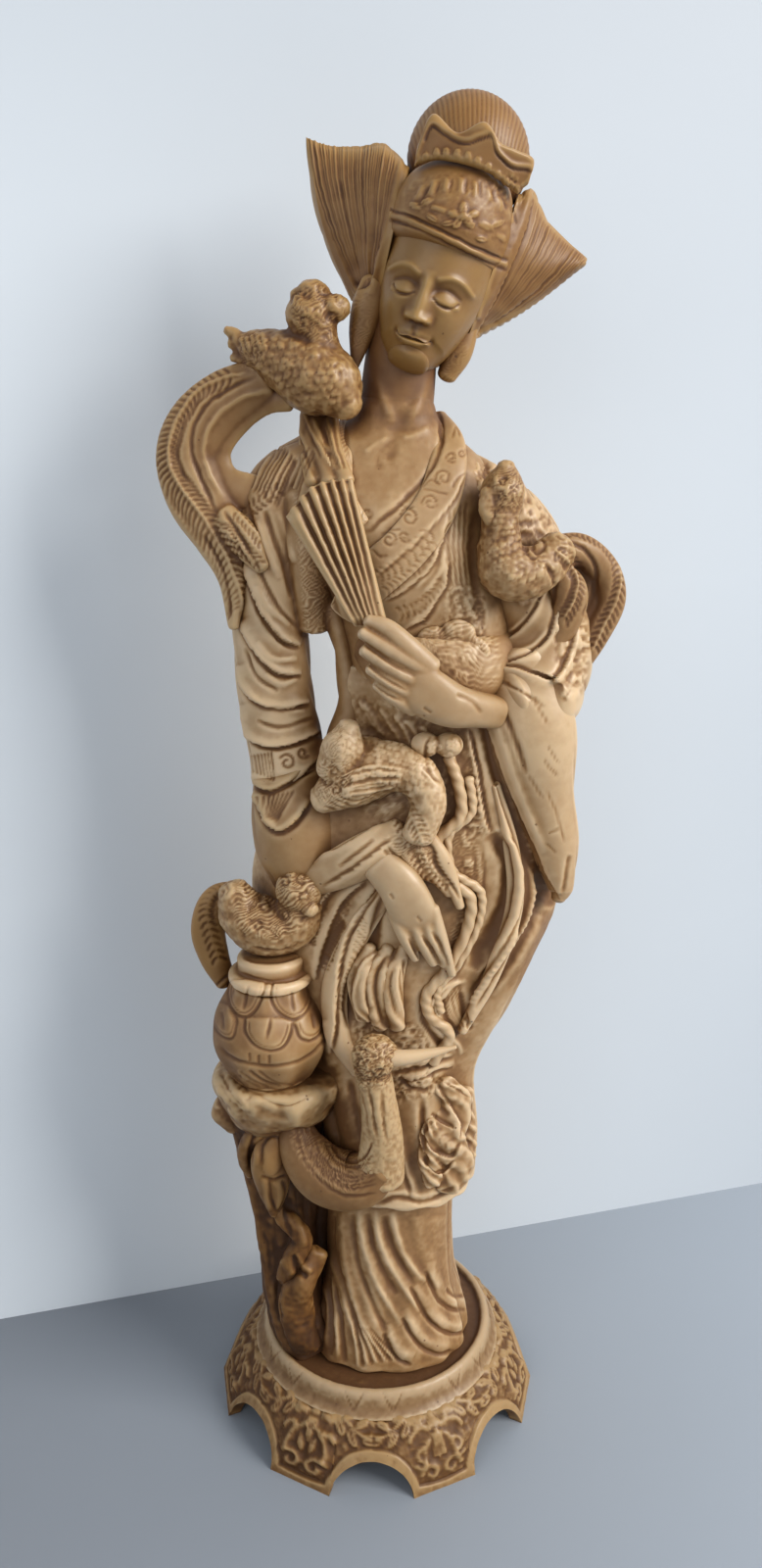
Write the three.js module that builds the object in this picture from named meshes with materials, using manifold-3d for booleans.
// Statuette of a robed lady with five birds, a fan and a vase, on a round stand with seven feet.
// Millimetres, +Z up, the viewer's side towards -Y, origin at the centre of the stand's underside.
import * as THREE from 'three';
import Module from 'manifold-3d';

const wasm = await Module();
wasm.setup();

const seat = 0.3; // gap left between two pieces that lie against each other
// Stand
const footCount = 7;
const standRadius = 40.5;
const footHalfAngle = 11.5;
const frontFootAngle = -116.5;
const archHeight = 8;
const apronHeight = 15;
const apronWall = 3.2;
const ringRadius = 29;
const ringHeight = 4.8;
const ringRimWidth = 3.4;
const ringRecess = 1.4;
const coreRadius = 25.2;

// Height of the hem above the table, then from each level of the figure up to the next one
const hem = 66;
const hemToLedge = 31;
const ledgeToHip = 43;
const hipToWaist = 35;
const waistToBust = 37;
const bustToShoulder = 19;
const shoulderToNeck = 11;
const neckToChin = 8;
const chinToBrow = 25;
const browToCrown = 13;

// Widths and depths of the figure
const skirtHalfWidth = 15.5;
const skirtHemHalfWidth = 21;
const skirtPleats = 14;
const pleatDepth = 0.8;
const hemHalfWidth = 17.5;
const hipHalfWidth = 34;
const waistHalfWidth = 20;
const bustHalfWidth = 20.5;
const shoulderHalfWidth = 22;
const robeDepth = 18;
const robeBackDepth = 15;
const neckRadius = 6.6;
const headHalfWidth = 10.6;
const headDepth = 12;
const noseLength = 7.5;
const noseRise = 16.5; // from the chin up to the root of the nose
const capThickness = 1.2;
const bunRadius = 12;
const upperArmRadius = 8;
const wristRadius = 3.3;
const fingerRadius = 1.35;
const cordRadius = 1.1;
const tailThickness = 2.2;

// Fan, tiara, vase and bird sizes
const fanRibs = 7;
const fanThickness = 2.4;
const tiaraThickness = 1.8;
const vaseRadius = 13;
const vaseNeckRadius = 9.3;
const vaseHeight = 23;
const vasePetals = 8;
const birdHeadRadius = 4.7;
const craneNeckRadius = 3.3;
const beakLength = 13;

const ledge = hem + hemToLedge;
const hip = ledge + ledgeToHip;
const waist = hip + hipToWaist;
const bust = waist + waistToBust;
const shoulder = bust + bustToShoulder;
const neckBase = shoulder + shoulderToNeck;
const chin = neckBase + neckToChin;
const brow = chin + chinToBrow;
const crown = brow + browToCrown;
const ringTop = apronHeight + seat + ringHeight;
const floorLevel = ringTop - ringRecess;
const degrees = Math.PI / 180;

// Materials
const resin = new THREE.MeshStandardMaterial({ color: '#c39b6a', roughness: 0.45, metalness: 0 });
const hairResin = new THREE.MeshStandardMaterial({ color: '#a97c4a', roughness: 0.45, metalness: 0 });
const skinResin = new THREE.MeshStandardMaterial({ color: '#c9a273', roughness: 0.4, metalness: 0 });
const woodResin = new THREE.MeshStandardMaterial({ color: '#a77c4c', roughness: 0.5, metalness: 0 });

// Value at t of the smooth curve through the points (at, values), sloped by each point's neighbours
function smoothAt(at, values, t) {
  const last = at.length - 1;
  const clamped = Math.min(Math.max(t, at[0]), at[last]);
  let i = 0;
  while (i < last - 1 && clamped > at[i + 1]) i += 1;
  const slope = (k) => {
    const low = Math.max(k - 1, 0);
    const high = Math.min(k + 1, last);
    return (values[high] - values[low]) / (at[high] - at[low]);
  };
  const width = at[i + 1] - at[i];
  const s = (clamped - at[i]) / width;
  const rise = s * s * (3 - 2 * s);
  const bendLow = (s * s * s - 2 * s * s + s) * width * slope(i);
  const bendHigh = (s * s * s - s * s) * width * slope(i + 1);
  return values[i] * (1 - rise) + values[i + 1] * rise + bendLow + bendHigh;
}

// Closed solid through a stack of rings with equal point counts: fans close its ends,
// or the last ring joins the first when it loops
function ringSolid(rings, loops = false) {
  const sides = rings[0].length;
  const points = rings.flat();
  const faces = [];
  const bands = loops ? rings.length : rings.length - 1;
  for (let i = 0; i < bands; i += 1) {
    const next = (i + 1) % rings.length;
    for (let k = 0; k < sides; k += 1) {
      const side = (k + 1) % sides;
      const a = i * sides + k;
      const b = i * sides + side;
      const c = next * sides + side;
      const d = next * sides + k;
      faces.push([a, b, c], [a, c, d]);
    }
  }
  if (!loops) {
    const middle = (ring) => ring.reduce((sum, p) => sum.add(p), new THREE.Vector3()).divideScalar(sides);
    const lowEnd = points.push(middle(rings[0])) - 1;
    const highEnd = points.push(middle(rings.at(-1))) - 1;
    const lastRing = (rings.length - 1) * sides;
    for (let k = 0; k < sides; k += 1) {
      const side = (k + 1) % sides;
      faces.push([lowEnd, side, k], [highEnd, lastRing + k, lastRing + side]);
    }
  }
  const volume = faces.reduce((sum, [a, b, c]) => {
    const across = new THREE.Vector3().crossVectors(points[b], points[c]);
    return sum + points[a].dot(across);
  }, 0);
  const outward = volume > 0 ? faces : faces.map(([a, b, c]) => [a, c, b]);
  const mesh = new wasm.Mesh({
    numProp: 3,
    vertProperties: new Float32Array(points.flatMap((p) => [p.x, p.y, p.z])),
    triVerts: new Uint32Array(outward.flat()),
  });
  return new wasm.Manifold(mesh);
}

// Level sections: each station is [z, x, y, half width, front depth, back depth]
const roundness = 2.3; // 2 is an ellipse, more is squarer
function sectionAt(stations, z) {
  const at = stations.map((station) => station[0]);
  const read = (k) => smoothAt(at, stations.map((station) => station[k]), z);
  return { x: read(1), y: read(2), half: read(3), front: read(4), back: read(5) };
}

// Depth of the front of a stack of sections at the place x, z
function frontOf(stations, x, z) {
  const s = sectionAt(stations, z);
  const across = Math.min(Math.abs(x - s.x) / s.half, 0.98);
  return s.y - s.front * (1 - across ** roundness) ** (1 / roundness);
}

function sectionStack(stations, { levels, sides, grow = 0, ripple = () => 0 }) {
  const bottom = stations[0][0];
  const top = stations.at(-1)[0];
  const power = 2 / roundness;
  const rings = [];
  for (let i = 0; i <= levels; i += 1) {
    const share = i / levels;
    const z = bottom + (top - bottom) * share;
    const lift = grow * (2 * share - 1);
    const s = sectionAt(stations, z);
    const ring = [];
    for (let k = 0; k < sides; k += 1) {
      const angle = (k / sides) * 2 * Math.PI;
      const swell = grow + ripple(angle, z);
      const depth = Math.sin(angle) < 0 ? s.front : s.back;
      const x = Math.sign(Math.cos(angle)) * Math.abs(Math.cos(angle)) ** power * (s.half + swell);
      const y = Math.sign(Math.sin(angle)) * Math.abs(Math.sin(angle)) ** power * (depth + swell);
      ring.push(new THREE.Vector3(s.x + x, s.y + y, z + lift));
    }
    rings.push(ring);
  }
  return ringSolid(rings);
}

// Limb along a smooth path of stops [x, y, z, half width, half thickness]: the thickness lies
// along the direction facing, and the width across it
const towardsViewer = new THREE.Vector3(0, -1, 0);
function limb(stops, { steps = 8, sides = 8, grow = 0, facing = towardsViewer, ripple = () => 0 } = {}) {
  const path = new THREE.CatmullRomCurve3(stops.map(([x, y, z]) => new THREE.Vector3(x, y, z)));
  const at = stops.map((stop, i) => i / (stops.length - 1));
  const rings = [];
  for (let i = 0; i <= steps; i += 1) {
    const t = i / steps;
    const along = path.getTangent(t);
    const centre = path.getPoint(t).addScaledVector(along, grow * (2 * t - 1));
    const across = new THREE.Vector3().crossVectors(facing, along).normalize();
    const outward = new THREE.Vector3().crossVectors(along, across);
    const halfWidth = smoothAt(at, stops.map((stop) => stop[3]), t);
    const halfThickness = smoothAt(at, stops.map((stop) => stop[4]), t);
    const ring = [];
    for (let k = 0; k < sides; k += 1) {
      const angle = (k / sides) * 2 * Math.PI;
      const swell = grow + ripple(angle, t);
      ring.push(centre.clone()
        .addScaledVector(across, Math.cos(angle) * (halfWidth + swell))
        .addScaledVector(outward, Math.sin(angle) * (halfThickness + swell)));
    }
    rings.push(ring);
  }
  return ringSolid(rings);
}

// Plate standing across the view: each column is [x, bottom z, top z, depth y, leaned x at the top],
// thick from front to back
function standingPlate(columns, { thickness, steps = 12, rows = 2, grow = 0, ripple = () => 0 }) {
  const at = columns.map((column, i) => i / (columns.length - 1));
  const rings = [];
  for (let i = 0; i <= steps; i += 1) {
    const t = i / steps;
    const read = (k) => smoothAt(at, columns.map((column) => column[k]), t);
    const side = grow * (2 * t - 1);
    const low = new THREE.Vector3(read(0) + side, read(3), read(1) - grow);
    const high = new THREE.Vector3(read(4) + side, read(3), read(2) + grow);
    const front = [];
    const back = [];
    for (let row = 0; row <= rows; row += 1) {
      const point = low.clone().lerp(high, row / rows);
      const half = thickness / 2 + grow;
      front.push(point.clone().setY(point.y - half - ripple(t)));
      back.push(point.clone().setY(point.y + half));
    }
    rings.push([...front, ...back.reverse()]);
  }
  return ringSolid(rings);
}

function ball(x, y, z, half, depth, height, { grow = 0, sides = 16, levels = 8 } = {}) {
  const rings = [];
  for (let i = 1; i < levels; i += 1) {
    const tilt = (i / levels) * Math.PI - Math.PI / 2;
    const ring = [];
    for (let k = 0; k < sides; k += 1) {
      const angle = (k / sides) * 2 * Math.PI;
      ring.push(new THREE.Vector3(
        x + Math.cos(tilt) * Math.cos(angle) * (half + grow),
        y + Math.cos(tilt) * Math.sin(angle) * (depth + grow),
        z + Math.sin(tilt) * (height + grow),
      ));
    }
    rings.push(ring);
  }
  return ringSolid(rings);
}

function joined(...solids) {
  return solids.reduce((sum, solid) => sum.add(solid));
}

// Stand: a flared apron cut by seven arches, and the ring with its recessed floor
function apronRadius(z) {
  return ringRadius + (standRadius - ringRadius) * Math.sqrt(Math.max(1 - z / apronHeight, 0));
}

function baseApron(grow) {
  const period = 360 / footCount;
  const archHalf = period / 2 - footHalfAngle;
  const archSteps = 2;
  const columns = [[-footHalfAngle, 0], [0, 0], [footHalfAngle, 0]];
  for (let k = 1; k < 2 * archSteps; k += 1) {
    const turn = (k / archSteps) * 90 * degrees;
    columns.push([footHalfAngle + archHalf * (1 - Math.cos(turn)), archHeight * Math.sin(turn)]);
  }
  const rows = 3;
  const rings = [];
  for (let foot = 0; foot < footCount; foot += 1) {
    for (const [offset, rise] of columns) {
      const angle = (frontFootAngle + foot * period + offset) * degrees;
      const place = (radius, z) => new THREE.Vector3(radius * Math.cos(angle), radius * Math.sin(angle), z);
      const outer = [];
      const inner = [];
      for (let row = 0; row <= rows; row += 1) {
        const z = apronHeight + (rise - apronHeight) * Math.sin((row / rows) * Math.PI / 2);
        outer.push(place(apronRadius(z) + grow, z));
        inner.push(place(apronRadius(z) - apronWall - grow, z));
      }
      rings.push([...outer, ...inner.reverse()]);
    }
  }
  return ringSolid(rings, true);
}

function plinthRing(grow) {
  const low = apronHeight + seat;
  const rimInside = ringRadius - ringRimWidth;
  return lathe([
    [coreRadius, 0], [coreRadius, low], [ringRadius, low], [ringRadius + 0.4, low + ringHeight * 0.5],
    [ringRadius - 0.2, ringTop - 0.4], [ringRadius - 0.8, ringTop + grow],
    [rimInside + 0.6 - 2 * grow, ringTop + grow], [rimInside - 2 * grow, floorLevel + grow],
  ], 0, 0, 32, grow);
}

// Skirt, robe and bodice
const skirtBase = floorLevel + seat;
const skirtTop = hem - seat;
const skirtStations = [
  [skirtBase, 2.5, -2.5, skirtHemHalfWidth, 21.5, 17],
  [skirtBase + 7, 2.5, -2.5, skirtHemHalfWidth - 1.5, 20, 16],
  [skirtBase + 18, 3, -2.5, skirtHalfWidth + 0.8, 17, 15],
  [hem - 16, 3, -2.5, skirtHalfWidth, 15.5, 14],
  [skirtTop, 3.5, -2.5, skirtHalfWidth - 0.5, 15, 14],
];
function underSkirt(grow) {
  const foldLevel = hem - 14;
  const pleat = (angle, z) => {
    const deep = Math.min(Math.max((foldLevel - z) / 20, 0), 1);
    return pleatDepth * deep * Math.cos(angle * skirtPleats + 0.6 * Math.sin(angle));
  };
  return sectionStack(skirtStations, { levels: 5, sides: skirtPleats * 3, grow, ripple: pleat });
}

const robeStations = [
  [hem, 6, -3, hemHalfWidth, robeDepth + 1.5, robeBackDepth + 1],
  [hem + 14, 5, -2.5, hemHalfWidth + 1, robeDepth + 0.5, robeBackDepth + 1],
  [ledge, 3.5, -2, hemHalfWidth + 2.5, robeDepth - 0.5, robeBackDepth + 1],
  [ledge + 15, 4.5, -1.5, hipHalfWidth - 7, robeDepth, robeBackDepth + 0.5],
  [hip - 9, 6, -1, hipHalfWidth - 0.5, robeDepth + 0.5, robeBackDepth],
  [hip + 6, 6.5, -1, hipHalfWidth, robeDepth + 0.5, robeBackDepth],
  [hip + 20, 9, -1, hipHalfWidth - 5, robeDepth, robeBackDepth],
  [waist - 5, 13, -1, waistHalfWidth + 2, robeDepth - 1, robeBackDepth - 0.5],
  [waist + 3, 13.5, -1, waistHalfWidth + 0.5, robeDepth - 2, robeBackDepth - 1],
  [waist + 12, 11, -1, waistHalfWidth, robeDepth - 2.5, robeBackDepth - 1],
];
function overRobe(grow) {
  const fold = (angle, z) => {
    const open = Math.min(Math.max((z - hem) / 12, 0), 1);
    return 0.7 * open * Math.cos(angle * 8 + (z - hip) / 16);
  };
  return sectionStack(robeStations, { levels: 11, sides: 24, grow, ripple: fold });
}

const bodiceBase = waist + 12 + seat;
const bodiceStations = [
  [bodiceBase, 11, -1, waistHalfWidth, robeDepth - 2.5, robeBackDepth - 1],
  [bust - 12, 8.5, -1, bustHalfWidth, robeDepth - 2, robeBackDepth - 1],
  [bust, 5, -1, bustHalfWidth, robeDepth - 0.5, robeBackDepth - 0.5],
  [bust + 10, 2, -1, shoulderHalfWidth - 0.5, robeDepth - 1.5, robeBackDepth - 0.5],
  [shoulder - 1, 0.5, -0.5, shoulderHalfWidth, robeDepth - 5, robeBackDepth - 1.5],
  [shoulder + 4, 1, 0, shoulderHalfWidth - 5, robeDepth - 7, robeBackDepth - 3],
  [neckBase - 2.5, 2.5, 0, neckRadius + 3, robeDepth - 9, robeBackDepth - 5.5],
  [neckBase, 3, 0, neckRadius + 1, neckRadius + 1, neckRadius + 1],
];
function bodice(grow) {
  return sectionStack(bodiceStations, { levels: 8, sides: 20, grow });
}

// A stop on the front of the robe or bodice: x, z, how far it stands out, half width, half thickness
function onRobe(x, z, out, half, thick) {
  return [x, frontOf(robeStations, x, z) - out, z, half, thick];
}
function onBodice(x, z, out, half, thick) {
  return [x, frontOf(bodiceStations, x, z) - out, z, half, thick];
}

function obi(grow) {
  const middle = waist + 14;
  return limb([
    onBodice(-7, middle + 7, 0, 4, 2),
    onBodice(2, middle + 4, 1.4, 6, 2.6),
    onBodice(12, middle + 2, 1.8, 7, 2.8),
    onBodice(21, middle + 3, 1.2, 6.4, 2.6),
    onBodice(28, middle + 6, 0, 4, 2),
  ], { steps: 7, sides: 8, grow });
}

function obiBlossom(grow) {
  const [middleX, middleY, middleZ] = onBodice(14.5, waist + 20.5, 4.4, 0, 0);
  const petals = [];
  for (let k = 0; k < 5; k += 1) {
    const turn = (k / 5) * 2 * Math.PI;
    const x = middleX + 4.2 * Math.cos(turn);
    const z = middleZ + 3.4 * Math.sin(turn);
    petals.push(ball(x, middleY, z, 2.9, 1.7, 2.6, { grow, sides: 6, levels: 4 }));
  }
  const heart = ball(middleX, middleY - 0.6, middleZ, 2.4, 1.8, 2.2, { grow, sides: 6, levels: 4 });
  return joined(heart, ...petals);
}

// Embroidered bands that cross at the neckline
function collarRight(grow) {
  return limb([
    [11, 3.5, neckBase - 1.5, 2.6, 1.3],
    onBodice(13.5, shoulder + 3.5, 0.2, 3.6, 1.3),
    onBodice(11.5, shoulder - 6, 0.2, 4.2, 1.2),
    onBodice(5.5, bust + 4.5, 0.2, 4.6, 1.2),
    onBodice(-2, bust - 2.5, 0.2, 4.6, 1.2),
    onBodice(-7, bust - 10, 0.2, 3.6, 1.2),
  ], { steps: 10, sides: 6, grow });
}
function collarLeft(grow) {
  return limb([
    [-5.5, 3, neckBase - 1.5, 2.2, 1.2],
    onBodice(-8.5, shoulder + 3, 0.2, 3, 1.2),
    onBodice(-8, shoulder - 6, 0.2, 3.4, 1.2),
    onBodice(-5, bust + 8, 0.2, 3.2, 1.2),
  ], { steps: 6, sides: 6, grow });
}

// Head, tilted towards the shoulder, with its cap, tiara, hair and pendants
const headAxis = [
  [5, -8.4, chin, 2.8, 3.2],
  [6, -6.6, chin + 3, 5.4, 6.4],
  [7.7, -5, chin + 8, headHalfWidth - 2.2, headDepth - 2.4],
  [9.8, -4, chin + 14, headHalfWidth - 0.6, headDepth - 0.6],
  [11.6, -3.5, chin + 19.5, headHalfWidth, headDepth],
  [13, -3, brow, headHalfWidth - 0.2, headDepth],
  [14.8, -2.5, crown - 7, headHalfWidth - 1.8, headDepth - 2],
  [16.2, -2, crown - 1, headHalfWidth - 5.6, headDepth - 6],
];
function head(grow) {
  const noseRoot = chin + noseRise;
  const face = frontOfHead(noseRoot - 1.5);
  const nose = limb([
    [face.x + 0.4, face.y + 1, noseRoot, 0.8, 1],
    [face.x, face.y + 0.2, noseRoot - noseLength * 0.6, 1.1, 1.2],
    [face.x - 0.4, face.y, noseRoot - noseLength, 1.6, 1.5],
  ], { steps: 4, sides: 6, grow });
  return joined(limb(headAxis, { steps: 10, sides: 14, grow }), nose);
}

// The middle of the front of the head at a level
function frontOfHead(z) {
  const levels = headAxis.map((stop) => stop[2]);
  const read = (k) => smoothAt(levels, headAxis.map((stop) => stop[k]), z);
  return { x: read(0), y: read(1) - read(4) };
}
function neck(grow) {
  return limb([
    [3, -0.5, neckBase + seat, neckRadius + 0.6, neckRadius + 0.8],
    [3.6, -1, neckBase + 4, neckRadius, neckRadius],
    [4.8, -1.5, chin + 2, neckRadius - 0.2, neckRadius],
    [6, -2, chin + 8, neckRadius - 0.4, neckRadius],
  ], { steps: 5, sides: 12, grow });
}
function headband(grow) {
  const wrap = capThickness;
  return limb([
    [11.7, -4.2, brow - 3.5, headHalfWidth + wrap * 0.6, headDepth + wrap * 0.6],
    [12.4, -4, brow - 1.5, headHalfWidth + wrap, headDepth + wrap],
    [14, -3.8, brow + 3, headHalfWidth + wrap - 0.2, headDepth + wrap - 0.2],
    [15.8, -3.4, crown - 5.5, headHalfWidth + wrap - 2, headDepth + wrap - 2],
    [16.8, -3, crown - 2, headHalfWidth - 4, headDepth - 4],
  ], { steps: 6, sides: 16, grow });
}
function tiara(grow) {
  const low = crown - 2.5;
  return standingPlate([
    [6, low - 0.5, low + 3, -11, 6.6],
    [7.4, low, crown + 5.6, -11.6, 9.3],
    [10.6, low + 0.4, crown + 2.2, -13.2, 13.8],
    [14.4, low - 0.6, crown + 3.6, -14.8, 18.6],
    [17.4, low - 1.4, crown + 0.2, -15, 21.6],
    [20.6, low - 2.6, crown - 0.8, -14, 24.6],
    [23.4, low - 4, crown - 2, -12, 28],
    [25.4, low - 5, crown - 5.4, -10.4, 27.4],
  ], { thickness: tiaraThickness, steps: 14, rows: 2, grow });
}
function hairBun(grow) {
  return ball(16.8, 4.2, crown + 1, bunRadius, bunRadius - 1, bunRadius + 0.2, { grow, sides: 16, levels: 8 });
}
function hairBack(grow) {
  return limb([
    [8, 4, chin + 4, 6, 5],
    [9.5, 6, chin + 12, 10, 7.5],
    [11.5, 6, brow - 2, 12, 8.5],
    [14, 5, crown - 6, 10.5, 8],
    [15.5, 4, crown, 6, 5],
  ], { steps: 5, sides: 8, grow });
}

// Hair wing: rings run from the cap outwards, each a closed loop of the front sheet, then the back sheet;
// a station is [top x, top z, bottom x, bottom z, front y, back y], and the outer edge bows out
function hairWing(stations, bow, grow) {
  const steps = 7;
  const rows = 4;
  const at = stations.map((station, i) => i / (stations.length - 1));
  const outwards = Math.sign(stations.at(-1)[0] - stations[0][0]);
  const rings = [];
  for (let i = 0; i <= steps; i += 1) {
    const t = i / steps;
    const read = (k) => smoothAt(at, stations.map((station) => station[k]), t);
    const shift = 2 * grow * (2 * t - 1) * outwards;
    const front = [];
    const back = [];
    for (let row = 0; row <= rows; row += 1) {
      const s = row / rows;
      const bulge = Math.sin(s * Math.PI);
      const x = read(0) * (1 - s) + read(2) * s + shift + bow * bulge * t * outwards;
      const z = (read(1) + 2 * grow) * (1 - s) + (read(3) - 2 * grow) * s;
      front.push(new THREE.Vector3(x, read(4) - grow - 1.2 * bulge, z));
      back.push(new THREE.Vector3(x, read(5) + grow + 2 * bulge, z));
    }
    rings.push([...front, ...back.reverse()]);
  }
  return ringSolid(rings);
}
const wingTop = crown + 5;
function hairWingLeft(grow) {
  return hairWing([
    [5.2, crown - 1.5, -0.6, chin + 12.5, -8.2, 8],
    [0.5, crown + 3, -3.2, chin + 12.6, -5.4, 9],
    [-4.4, crown + 3, -4.2, chin + 12.8, -2.6, 9],
    [-10, crown + 3.4, -5.2, chin + 13, 0, 8.4],
    [-15, wingTop, -6.2, chin + 13.4, 2.4, 6.4],
  ], 2.4, grow);
}
function hairWingRight(grow) {
  return hairWing([
    [26.4, crown - 6, 16.6, chin + 4.4, -7.4, 8],
    [29.4, crown - 5, 21, chin + 7, -4.6, 9],
    [32.4, crown - 9.6, 26, chin + 9.6, -2, 9],
    [36.6, crown - 13.4, 32, chin + 13.4, 0.6, 8],
    [41, crown - 16.6, 39.6, chin + 19.2, 3, 6],
  ], 0.6, grow);
}
function earPendantLeft(grow) {
  return limb([
    [-3, -3.1, chin + 13.2, 2, 2.2],
    [-4.5, -4, chin + 7, 2, 2],
    [-5, -4.6, chin + 3.5, 1.3, 1.3],
  ], { steps: 4, sides: 6, grow });
}
function earPendantRight(grow) {
  return limb([
    [16.5, -2, chin + 7, 2, 2],
    [15, -2.4, chin + 3, 2.6, 2.4],
    [13.4, -2.6, chin - 1.4, 1.6, 1.6],
  ], { steps: 4, sides: 6, grow });
}

// Arms on the picture's left: sleeve, its patterned lower part, the smooth cuff and the hanging hand
function sleeveLeftUpper(grow) {
  const wrinkle = (angle, t) => 0.5 * Math.cos(t * 26 + angle) * Math.min(t * 4, 1);
  return limb([
    [-15.5, 0, shoulder + 0.5, 4, 8],
    [-21, -1, shoulder - 7, upperArmRadius - 0.5, 9],
    [-23.5, -2, bust - 5, upperArmRadius, 9],
    [-22.8, -3.5, waist + 13, upperArmRadius, 8.6],
    [-20.6, -6, waist - 2, upperArmRadius, 8.4],
    [-19.4, -8, hip + 27, upperArmRadius, 8.2],
  ], { steps: 11, sides: 10, grow, ripple: wrinkle });
}
function sleeveLeftLower(grow) {
  return limb([
    [-19.2, -8.4, hip + 26 - seat, upperArmRadius + 0.2, 8.4],
    [-18, -10, hip + 18, upperArmRadius + 1.6, 9],
    [-17, -10.5, hip + 9, upperArmRadius + 1.4, 8.5],
    [-17.5, -9.5, hip + 2, upperArmRadius - 2, 6],
  ], { steps: 6, sides: 12, grow });
}
function cuffLeft(grow) {
  return limb([
    [-15.5, -16.5, hip + 4, 3, 2],
    onRobe(-9, hip + 8.5, 1.2, 4.4, 2.6),
    onRobe(-2, hip + 13, 2, 4.8, 3.2),
    onRobe(5, hip + 17, 1.4, 4, 2.6),
  ], { steps: 6, sides: 8, grow });
}
function hand(wrist, palm, knuckles, spread, tips, grow) {
  const parts = [limb([wrist, palm, knuckles], { steps: 4, sides: 8, grow })];
  for (let k = 0; k < 4; k += 1) {
    const side = k - 1.5;
    const root = [0, 1, 2].map((c) => knuckles[c] + spread[c] * side);
    const tip = [0, 1, 2].map((c) => tips[c] + spread[c] * side * 0.95);
    const middle = [0, 1, 2].map((c) => (root[c] + tip[c]) / 2);
    middle[1] -= 0.5;
    parts.push(limb([
      [...root, fingerRadius + 0.1, fingerRadius + 0.1],
      [...middle, fingerRadius, fingerRadius],
      [...tip, fingerRadius - 0.5, fingerRadius - 0.5],
    ], { steps: 3, sides: 5, grow }));
  }
  return joined(...parts);
}
function handLow(grow) {
  return hand(
    onRobe(-0.5, hip + 9, 2.6, wristRadius + 0.5, wristRadius - 0.4),
    onRobe(4.4, hip + 3.5, 3.4, 5, 3),
    onRobe(8, hip - 2, 3.6, 5.4, 2.4),
    [2.6, 0, 1.3],
    onRobe(12, hip - 11.5, 2.8, 0, 0),
    grow,
  );
}

// Arm on the picture's right: sleeve, the long hanging cuff and the hand that holds the fan
function sleeveRightUpper(grow) {
  const fold = (angle, t) => 0.5 * Math.cos(t * 20 + angle * 2) * Math.min(t * 4, 1);
  return limb([
    [14, 0.5, shoulder + 0.5, 4, 8],
    [23, -1, shoulder - 8, 8, 9.5],
    [31, -2.5, bust - 4, 10, 10],
    [34.5, -4, waist + 20, 9.6, 9.6],
    [33.5, -7, waist + 10, 8, 9],
    [27, -12, waist + 8, 6.5, 7],
  ], { steps: 8, sides: 10, grow, ripple: fold });
}
function hangingSleeve(grow) {
  return limb([
    [30, -13, waist + 14, 8.5, 5.5],
    [31.8, -13.5, waist + 4, 9, 6],
    [34.8, -13, hip + 24, 7, 6],
    [38.2, -12, hip + 12, 5.2, 5],
    [40, -12, hip + 2, 2.6, 3.2],
    [39.6, -12.4, hip, 1.4, 2.2],
  ], { steps: 8, sides: 10, grow });
}
const fanHandWrist = [19.5, -20.5, waist + 11.5];
const fanHandKnuckles = [4.2, -27, waist + 20.5];
function handHigh(grow) {
  const thumb = limb([
    [11, -24.5, waist + 20, 2, 2],
    [6.5, -27, waist + 25, 1.6, 1.5],
    [1.6, -27.6, waist + 28.5, 1, 1],
  ], { steps: 4, sides: 5, grow });
  return joined(hand(
    [...fanHandWrist, wristRadius + 0.4, wristRadius],
    [12, -24.4, waist + 14.5, 5.2, 3.6],
    [...fanHandKnuckles, 5.6, 2.8],
    [0.75, 0, 2.6],
    [-4.4, -27.4, waist + 25],
    grow,
  ), thumb);
}

// Fan: ribs spread from the fingers to the folded edge
function fan(grow) {
  const crest = (t) => 0.5 * Math.cos(t * fanRibs * 2 * Math.PI);
  const foot = bust - 9;
  return standingPlate([
    [-3.4, foot, bust + 10.4, -24, -17.8],
    [-1.6, foot, bust + 15.4, -24.4, -13.4],
    [0, foot, bust + 17, -24.4, -9.6],
    [1.6, foot, bust + 17.4, -23.6, -5.2],
  ], { thickness: fanThickness, steps: fanRibs * 3, rows: 2, grow, ripple: crest });
}

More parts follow.
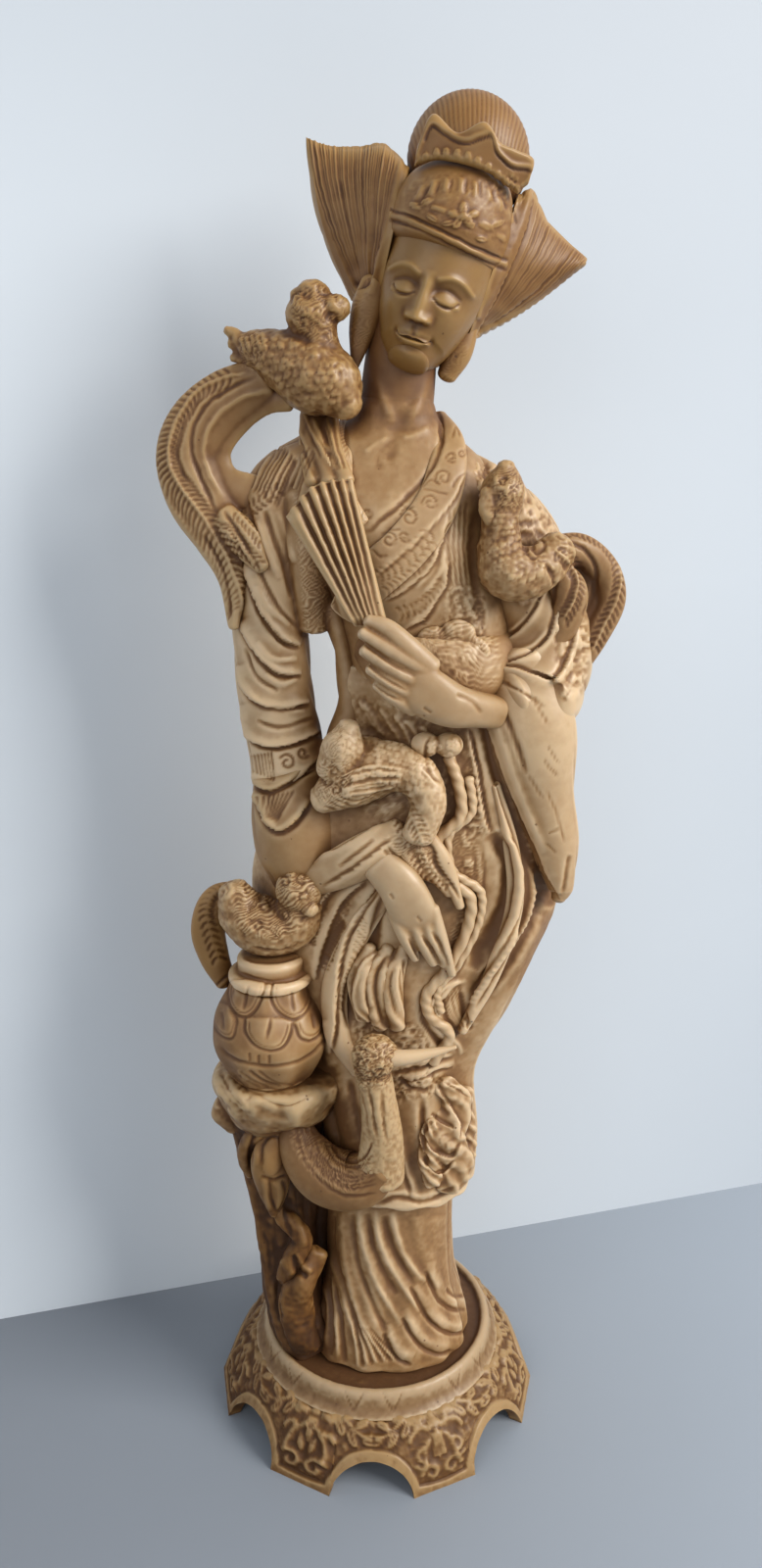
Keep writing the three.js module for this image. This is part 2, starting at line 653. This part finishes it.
// Birds on the two shoulders
function birdLeft(grow) {
  return joined(
    limb([
      [-28, -5, shoulder + 23.6, 2.2, 2],
      [-21, -6.4, shoulder + 21, 5.4, 5],
      [-14, -8, shoulder + 18, 7.4, 6.6],
      [-9, -9.6, shoulder + 14.6, 6.4, 6],
      [-6.4, -10.6, shoulder + 11.4, 3, 3],
    ], { steps: 7, sides: 10, grow }),
    limb([
      [-11, -9, shoulder + 18, 4.6, 4.6],
      [-12.2, -8.6, shoulder + 25, 3.8, 3.8],
      [-12.2, -8.4, shoulder + 30, birdHeadRadius, birdHeadRadius],
      [-11.6, -8.6, shoulder + 34, 2.4, 2.4],
    ], { steps: 6, sides: 8, grow }),
    ball(-9.2, -9.4, shoulder + 29.6, 3, 3, 2.6, { grow, sides: 6, levels: 4 }),
  );
}
function birdLeftTail(grow) {
  const arc = limb([
    [-23.4, -6, shoulder + 16.4, 4.6, tailThickness],
    [-31.4, -5, shoulder + 12.2, 6.2, tailThickness],
    [-37, -5, shoulder + 7, 6.6, tailThickness],
    [-39.2, -5.2, shoulder + 1.5, 6.6, tailThickness],
    [-37.2, -5.8, shoulder - 6, 6.6, tailThickness + 0.4],
    [-33, -7.4, shoulder - 14, 5.4, tailThickness + 0.4],
    [-30.4, -9, shoulder - 22, 3.2, tailThickness],
    [-30.4, -9.6, shoulder - 32, 1.2, 1.2],
  ], { steps: 13, sides: 8, grow });
  const shortPlume = limb([
    [-32, -8, shoulder - 10, 3.2, tailThickness],
    [-28, -10.4, shoulder - 14, 3.6, tailThickness],
    [-24, -11.6, shoulder - 19.6, 1.6, 1.4],
  ], { steps: 4, sides: 6, grow });
  return joined(arc, shortPlume);
}
function birdLeftRibbons(grow) {
  const strand = (offset) => limb([
    onBodice(-12.6 + offset, shoulder + 10, 0.8, 2, 1.6),
    onBodice(-12 + offset * 1.4, shoulder + 3.5, 1, 1.7, 1.6),
    onBodice(-10 + offset * 1.6, shoulder - 2.5, 1, 1.9, 1.5),
  ], { steps: 4, sides: 6, grow });
  return joined(strand(-1.6), strand(1.6));
}
function birdRight(grow) {
  return joined(
    limb([
      [23.4, -15, bust + 5, 4.2, 4.6],
      [25.4, -17, bust - 0.6, 5.4, 5.4],
      [31, -15.6, bust - 0.5, 5, 4.8],
      [36, -12.6, bust + 3.5, 3.8, 3.8],
    ], { steps: 7, sides: 8, grow, facing: new THREE.Vector3(0, -1, 0.3) }),
    limb([
      [24.2, -15.5, bust + 2.2, 4.3, 4.3],
      [23.8, -15.4, bust + 9.5, 3.8, 3.8],
      [24.2, -14.8, bust + 15.4, birdHeadRadius - 0.4, birdHeadRadius - 0.4],
      [24.6, -14.6, bust + 19.4, 2, 2],
    ], { steps: 6, sides: 8, grow }),
    limb([
      [21.4, -17, bust + 14.6, 1.8, 1.8],
      [20.8, -18, bust + 11.8, 1.6, 1.6],
      [21.4, -18, bust + 9, 0.8, 0.8],
    ], { steps: 3, sides: 5, grow }),
  );
}
function birdRightTail(grow) {
  const arc = limb([
    [33.6, -13, bust + 2.4, 3.6, 3.2],
    [40.6, -10, bust + 3, 3.4, 3],
    [46.4, -7.6, bust - 1.6, 3.2, 2.8],
    [48, -6.8, bust - 7.4, 3.2, 2.8],
    [45, -6.8, bust - 14.8, 3.2, 2.6],
    [41.6, -7.4, bust - 22, 2.2, 2],
  ], { steps: 12, sides: 8, grow });
  const plume = limb([
    [34.4, -13.5, bust + 0.5, 2.6, 2.2],
    [38.4, -13, bust - 5, 3.8, 2.2],
    [38, -12.8, bust - 11.5, 3, 2],
    [35.4, -12.8, bust - 17, 1.6, 1.4],
  ], { steps: 6, sides: 6, grow });
  return joined(arc, plume);
}

// Bird on the hip, its streaming tail, the bow and the cord of the sash
function hipBird(grow) {
  return joined(
    limb([
      [-12, -18, hip + 24, 3, 4],
      [-6, -18, hip + 28, 5.6, 6],
      [1, -18.5, hip + 31, 5.4, 5.4],
      onRobe(8, hip + 29, 3, 4, 3.6),
    ], { steps: 6, sides: 8, grow }),
    limb([
      [-8.6, -19, hip + 31, 4.4, 4.4],
      [-7, -20.5, hip + 36.6, 4.4, 4.2],
      [-6, -20.5, hip + 40.4, 2.2, 2.4],
    ], { steps: 4, sides: 7, grow }),
    limb([
      onRobe(6, hip + 29, 3, 3.8, 3.6),
      onRobe(9, hip + 23, 3.6, 3.4, 3.2),
      onRobe(7.6, hip + 17, 3.6, 3.2, 3),
    ], { steps: 4, sides: 7, grow }),
  );
}
function hipBirdTail(grow) {
  const plume = (offset, length) => limb([
    onRobe(6.6 + offset, hip + 18, 2, 1.9, 1.6),
    onRobe(10 + offset * 1.3, hip + 11, 2, 2, 1.5),
    onRobe(14.6 + offset, hip + 18 - length, 1.2, 1, 1),
  ], { steps: 3, sides: 5, grow });
  return joined(plume(-2, 11), plume(0.6, 14), plume(3, 17));
}
function sashBow(grow) {
  const knot = onRobe(12, waist + 1.5, 2.4, 0, 0);
  return joined(
    ball(knot[0] - 2.4, knot[1], knot[2], 3, 2.4, 2.6, { grow, sides: 8, levels: 4 }),
    ball(knot[0] + 2.4, knot[1], knot[2], 3, 2.4, 2.6, { grow, sides: 8, levels: 4 }),
  );
}
function sashCord(grow) {
  const cord = (x, z) => onRobe(x, z, 0.9, cordRadius, cordRadius);
  return limb([
    cord(14.6, waist - 1.6), cord(16.6, waist - 7), cord(17.2, waist - 14), cord(12.6, hip + 16),
    cord(13.6, hip + 8), cord(19.6, hip + 3), cord(19.4, hip - 4), cord(15, hip - 14),
    cord(10.8, hip - 20), cord(11.6, hip - 25), cord(16, hip - 30), cord(12.6, hip - 37),
  ], { steps: 26, sides: 4, grow });
}
function hipDrapery(grow) {
  const fold = (x, width, low) => limb([
    onRobe(x + 2.4, hip - 9, 0.4, 1.4, 1.6),
    onRobe(x, hip - 16, 1, width, 2.4),
    onRobe(x + 1, low, 0.4, width * 0.7, 1.4),
  ], { steps: 4, sides: 6, grow });
  return joined(fold(-4, 2.6, hip - 26), fold(-0.2, 2.4, hip - 28), fold(3.4, 2.4, hip - 28));
}
function laceFold(grow) {
  return limb([
    onRobe(24.6, waist - 8, 0, 1, 1.6),
    onRobe(28.4, hip + 13, 0.4, 1.7, 2),
    onRobe(29.6, hip, 0.6, 1.9, 2.2),
    onRobe(25.4, hip - 16, 0.6, 1.8, 2),
    onRobe(19, hip - 30, 0.2, 1.1, 1.4),
  ], { steps: 10, sides: 6, grow });
}
function fringeFold(grow) {
  return limb([
    onRobe(2, hip + 4, 0, 2, 1.8),
    onRobe(-5.4, hip - 8, 0.6, 2.8, 2.2),
    onRobe(-9.4, hip - 20, 0.8, 3, 2.4),
    onRobe(-8.4, hip - 32, 0.4, 2.6, 2),
    onRobe(-4.4, hip - 40, 0, 1.6, 1.4),
  ], { steps: 8, sides: 6, grow });
}

// Stump, ledge and vase
const vaseX = -24.2;
const vaseY = -14.5;
function treeStump(grow) {
  const gnarl = (angle, t) => 0.6 * Math.cos(angle * 5 + t * 6);
  const trunk = limb([
    [-17.6, -10, skirtBase, 9, 8.4],
    [-20, -10, skirtBase + 8, 7.6, 7],
    [-22.2, -8.4, hem - 24, 7, 6],
    [-23, -7.6, hem - 8, 7.6, 6.4],
    [-24, -7.4, hem + 8, 9.6, 7.4],
    [-24, -8, ledge - 13.6, 12, 9],
  ], { steps: 6, sides: 12, grow, ripple: gnarl });
  const arch = limb([
    [-30.4, -12, hem + 3, 1.4, 2],
    [-31, -14.4, hem + 10, 1.8, 2.2],
    [-27.6, -16, hem + 16.4, 2, 2.2],
    [-22.4, -16, hem + 16, 2, 2.2],
    [-19, -14.4, hem + 9.4, 1.8, 2.2],
    [-19, -12, hem + 2, 1.4, 2],
  ], { steps: 7, sides: 5, grow });
  return joined(trunk, arch);
}
function flowerBud(grow) {
  const top = ledge - 14;
  return limb([
    [-23.4, -17, top, 2.4, 2],
    [-24.6, -17.6, top - 7, 4.6, 3.4],
    [-24.4, -16.6, top - 15, 3.8, 3],
    [-24.4, -15.4, top - 23, 1.2, 1.2],
  ], { steps: 6, sides: 8, grow });
}
function twistedRoot(grow) {
  return limb([
    [-14.6, -17, hem - 20, 1.6, 1.6],
    [-17, -19.6, hem - 27, 2.4, 2.2],
    [-20.4, -20, hem - 32, 3, 2.8],
    [-19, -20, skirtBase + 9, 3, 2.6],
    [-17, -20, skirtBase + 2, 2.4, 2],
  ], { steps: 7, sides: 6, grow });
}
function vaseLedge(grow) {
  const slab = sectionStack([
    [ledge - 13.4, -23, -9, 12.4, 11, 9],
    [ledge - 9, -23, -9.6, 15, 13.4, 10],
    [ledge - 4, -22.8, -10, 15.6, 14.8, 10],
    [ledge - 1, -22.8, -10.4, 14, 14, 9.6],
    [ledge, -23, -10.6, 12.6, 13, 9],
  ], { levels: 4, sides: 18, grow });
  const knob = limb([
    [-33, -9, ledge - 9, 3.6, 3.6],
    [-36, -9, ledge - 13.6, 3.4, 3.4],
    [-34.4, -9.4, ledge - 18, 2, 2],
  ], { steps: 3, sides: 6, grow });
  return joined(slab, knob);
}
function lathe(profile, x, y, sides, grow, ripple = () => 0) {
  const rings = profile.map(([radius, z]) => {
    const ring = [];
    for (let k = 0; k < sides; k += 1) {
      const angle = (k / sides) * 2 * Math.PI;
      const reach = radius + grow + ripple(angle, z);
      ring.push(new THREE.Vector3(x + reach * Math.cos(angle), y + reach * Math.sin(angle), z));
    }
    return ring;
  });
  return ringSolid(rings);
}
function vase(grow) {
  const foot = ledge + seat;
  const petal = (angle, z) => {
    const upper = z > foot + vaseHeight * 0.55 ? 1 : -1;
    return z > foot + 1 ? 0.35 * upper * Math.cos(angle * vasePetals) : 0;
  };
  const steps = 9;
  const profile = [];
  for (let i = 0; i <= steps; i += 1) {
    const share = i / steps;
    const bulge = Math.sin(Math.PI * (0.16 + 0.72 * share));
    const radius = vaseNeckRadius - 2.4 + (vaseRadius - vaseNeckRadius + 2.4) * bulge ** 1.6;
    profile.push([radius, foot + vaseHeight * share]);
  }
  return lathe(profile, vaseX, vaseY, vasePetals * 3, grow, petal);
}
const lidBase = ledge + seat + vaseHeight + seat;
function vaseLid(grow) {
  return lathe([
    [vaseNeckRadius - 0.8, lidBase], [vaseNeckRadius + 0.2, lidBase + 0.8], [vaseNeckRadius + 0.2, lidBase + 2],
    [vaseNeckRadius - 0.8, lidBase + 2.8], [vaseNeckRadius - 2, lidBase + 3], [vaseNeckRadius - 1.8, lidBase + 5.6],
    [vaseNeckRadius - 2.6, lidBase + 6.6],
  ], vaseX + 0.4, vaseY, 20, grow);
}
const perch = lidBase + 6.6 + seat;
function vaseBird(grow) {
  const skull = birdHeadRadius;
  return joined(
    limb([
      [vaseX - 7.4, vaseY, perch + 13, 2.8, 3],
      [vaseX - 5.4, vaseY, perch + 8, 5, 5.4],
      [vaseX, vaseY - 0.6, perch + 4.6, 5.4, 6.6],
      [vaseX + 5.6, vaseY - 1, perch + 6.4, 5, 5.8],
      [vaseX + 7.6, vaseY - 1.4, perch + 11.4, 4.4, 4.6],
    ], { steps: 7, sides: 9, grow, facing: new THREE.Vector3(0, -1, 0.05) }),
    ball(vaseX + 7.4, vaseY - 2.4, perch + 14.2, skull, skull, skull, { grow, sides: 9, levels: 6 }),
    ball(vaseX + 9.8, vaseY - 5.6, perch + 11.6, 1.7, 2, 1.6, { grow, sides: 6, levels: 4 }),
  );
}
function vaseBirdTail(grow) {
  return limb([
    [vaseX - 7, vaseY + 6.4, perch + 11, 3, 2.4],
    [vaseX - 12, vaseY + 6, perch + 9.4, 3.8, 2.4],
    [vaseX - 14.2, vaseY + 5.6, perch + 3, 4, 2.4],
    [vaseX - 13, vaseY + 5.2, perch - 4, 3.4, 2.4],
    [vaseX - 10.6, vaseY + 5, perch - 10, 2.4, 2],
  ], { steps: 8, sides: 8, grow, facing: new THREE.Vector3(0.5, -1, 0) });
}

// Crane below the robe's drapery, and the leaves beside it
const craneFront = -robeDepth; // the robe's front, which the crane lies against
function craneBody(grow) {
  return limb([
    [-19.4, craneFront + 3, ledge - 8.6, 2.4, 3],
    [-17.4, craneFront, ledge - 17, 5.4, 5],
    [-11.4, craneFront - 3, ledge - 22.6, 7, 6],
    [-4, craneFront - 5, ledge - 22.4, 6.6, 6],
    [1.2, craneFront - 6.6, ledge - 17, 4.6, 4.6],
  ], { steps: 7, sides: 9, grow });
}
function craneNeck(grow) {
  return joined(
    limb([
      [0.6, craneFront - 7.2, ledge - 20, craneNeckRadius + 1, craneNeckRadius + 0.6],
      [0.4, craneFront - 8.6, ledge - 7, craneNeckRadius, craneNeckRadius],
      [-0.4, craneFront - 9, ledge + 3, craneNeckRadius, craneNeckRadius],
      [-1.4, craneFront - 8, ledge + 9, craneNeckRadius + 0.4, craneNeckRadius + 0.4],
    ], { steps: 6, sides: 8, grow }),
    ball(-0.4, craneFront - 9, ledge + 12, 5, 4.4, 4.6, { grow, sides: 9, levels: 6 }),
  );
}
function craneBeak(grow) {
  const start = 4;
  return limb([
    [start - 2, craneFront - 10, ledge + 12, 2, 2],
    [start + 2, craneFront - 10.4, ledge + 12.3, 1.7, 1.6],
    [start + beakLength * 0.6, craneFront - 9.6, ledge + 13, 1.1, 1.1],
    [start + beakLength, craneFront - 8.4, ledge + 13.8, 0.4, 0.5],
  ], { steps: 5, sides: 6, grow });
}
function leafCluster(grow) {
  const leaf = (x, z, half, height) => {
    const y = frontOf(robeStations, x, z) - 1.6;
    return ball(x, y, z, half, 2.8, height, { grow, sides: 8, levels: 4 });
  };
  return joined(
    leaf(17, hem + 25, 4.2, 5.4),
    leaf(14.6, hem + 18, 4.6, 5.2),
    leaf(18.6, hem + 15, 4, 5.2),
    leaf(15, hem + 9.6, 4.6, 5),
    leaf(18.4, hem + 6, 3.8, 4.4),
  );
}

// Pieces in the order in which they are set: each is cut back by those before it, with the seat gap
const pieces = [
  ['plinth_ring', plinthRing, resin],
  ['base_apron', baseApron, resin],
  ['under_skirt', underSkirt, resin],
  ['over_robe', overRobe, resin],
  ['bodice', bodice, resin],
  ['headband', headband, hairResin],
  ['head', head, skinResin],
  ['neck', neck, skinResin],
  ['tiara', tiara, hairResin],
  ['hair_bun', hairBun, hairResin],
  ['hair_back', hairBack, hairResin],
  ['hair_wing_left', hairWingLeft, hairResin],
  ['hair_wing_right', hairWingRight, hairResin],
  ['ear_pendant_left', earPendantLeft, hairResin],
  ['ear_pendant_right', earPendantRight, hairResin],
  ['sleeve_left_upper', sleeveLeftUpper, resin],
  ['sleeve_left_lower', sleeveLeftLower, resin],
  ['sleeve_right_upper', sleeveRightUpper, resin],
  ['hand_high', handHigh, skinResin],
  ['hanging_sleeve', hangingSleeve, resin],
  ['fan', fan, resin],
  ['obi', obi, resin],
  ['obi_blossom', obiBlossom, resin],
  ['bird_right', birdRight, resin],
  ['bird_right_tail', birdRightTail, resin],
  ['bird_left', birdLeft, resin],
  ['bird_left_tail', birdLeftTail, resin],
  ['bird_left_ribbons', birdLeftRibbons, resin],
  ['collar_band_right', collarRight, resin],
  ['collar_band_left', collarLeft, resin],
  ['hip_bird', hipBird, resin],
  ['cuff_left', cuffLeft, resin],
  ['hand_low', handLow, skinResin],
  ['hip_bird_tail', hipBirdTail, resin],
  ['sash_bow', sashBow, resin],
  ['sash_cord', sashCord, resin],
  ['tree_stump', treeStump, woodResin],
  ['vase_ledge', vaseLedge, woodResin],
  ['vase', vase, resin],
  ['vase_lid', vaseLid, resin],
  ['vase_bird', vaseBird, resin],
  ['vase_bird_tail', vaseBirdTail, woodResin],
  ['crane_neck', craneNeck, resin],
  ['crane_body', craneBody, resin],
  ['crane_beak', craneBeak, resin],
  ['flower_bud', flowerBud, woodResin],
  ['twisted_root', twistedRoot, woodResin],
  ['leaf_cluster', leafCluster, resin],
  ['hip_drapery', hipDrapery, resin],
  ['lace_fold', laceFold, resin],
  ['fringe_fold', fringeFold, resin],
];

function overlaps(one, other) {
  const a = one.boundingBox();
  const b = other.boundingBox();
  return [0, 1, 2].every((k) => a.min[k] < b.max[k] && b.min[k] < a.max[k]);
}

// The largest piece that a cut leaves, because slivers on the far side of a neighbour fall away
function mainPart(solid) {
  return solid.decompose().reduce((best, part) => (part.volume() > best.volume() ? part : best));
}

function meshOf(name, solid, material) {
  const { vertProperties, triVerts } = solid.getMesh();
  const geometry = new THREE.BufferGeometry();
  geometry.setAttribute('position', new THREE.BufferAttribute(new Float32Array(vertProperties), 3));
  geometry.setIndex(new THREE.BufferAttribute(new Uint32Array(triVerts), 1));
  geometry.computeVertexNormals();
  const mesh = new THREE.Mesh(geometry, material);
  mesh.name = name;
  return mesh;
}

const group = new THREE.Group();
const placed = [];
for (const [name, form, material] of pieces) {
  let solid = form(0);
  for (const neighbour of placed) {
    if (overlaps(solid, neighbour)) solid = solid.subtract(neighbour);
  }
  placed.push(form(seat).add(form(0)));
  group.add(meshOf(name, mainPart(solid), material));
}

export default group;
